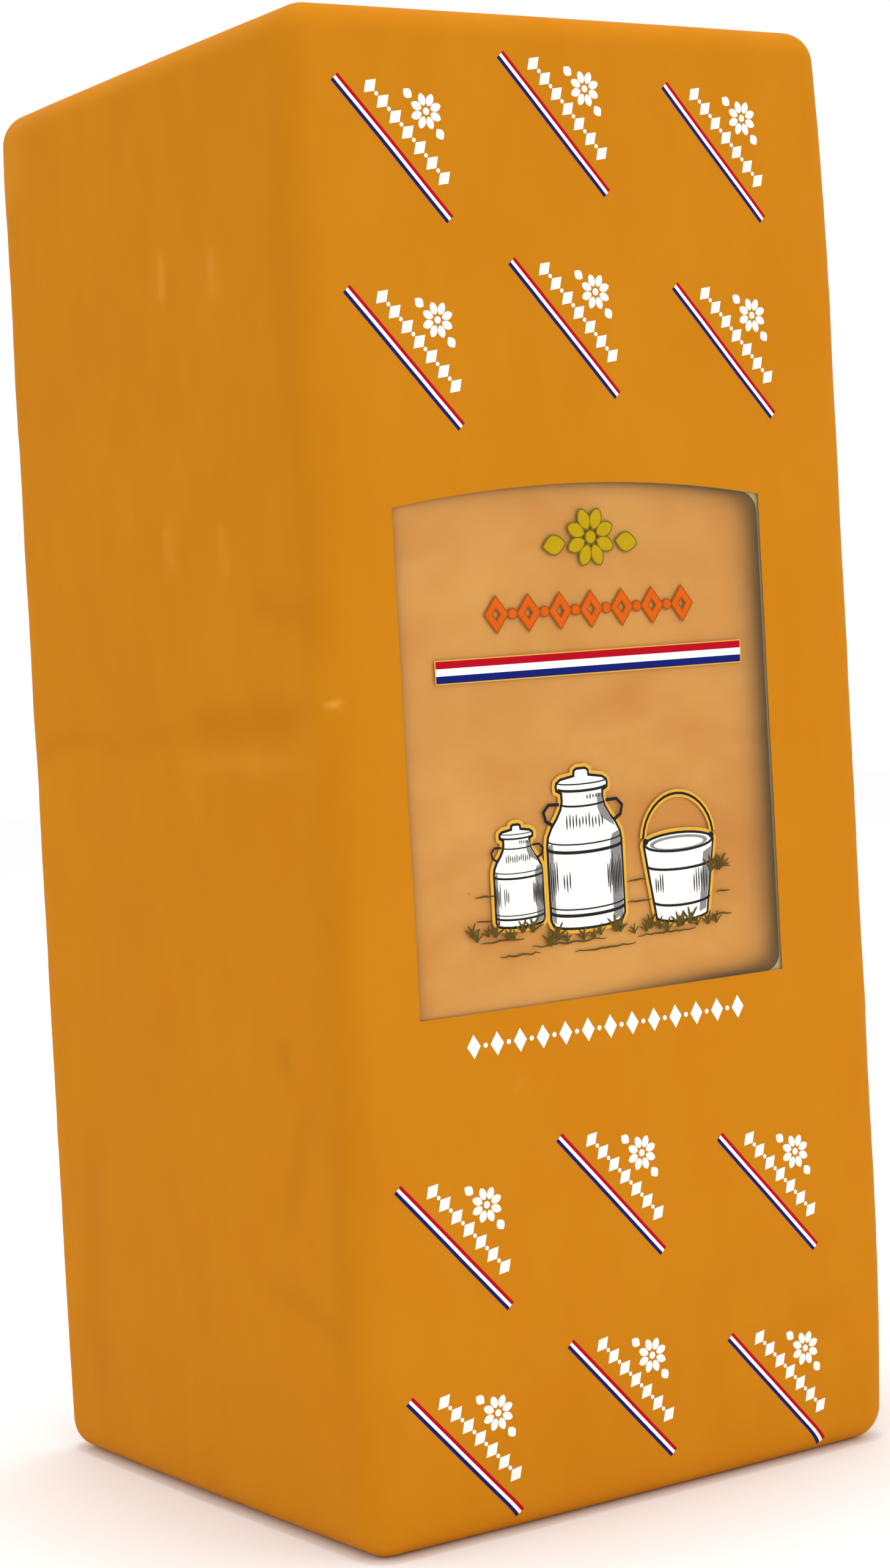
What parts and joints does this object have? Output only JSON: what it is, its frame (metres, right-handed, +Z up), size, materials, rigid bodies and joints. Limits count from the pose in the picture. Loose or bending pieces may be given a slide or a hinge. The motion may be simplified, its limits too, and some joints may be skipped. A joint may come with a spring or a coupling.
{
  "type": "mimolette cheese block",
  "caption": "Upright square block of mimolette cheese, wrapped tight in orange printed film with an arched clear window in the front.",
  "frame": {"origin": "middle of the base, on the surface that the block stands on", "axes": "+Z up along the block's length; -Y out of the printed front with the window; +X to the right as seen from the front"},
  "size_m": [0.1114, 0.1067, 0.2464],
  "materials": {
    "cheese": "smooth cut cheese, slightly moist",
    "printed_film": "satin orange printed film",
    "clear_film": "clear glossy film"
  },
  "bodies": {
    "root": {"cheese": "cheese", "printed_film": "printed_film", "window_film": "clear_film"}
  },
  "joints": []
}
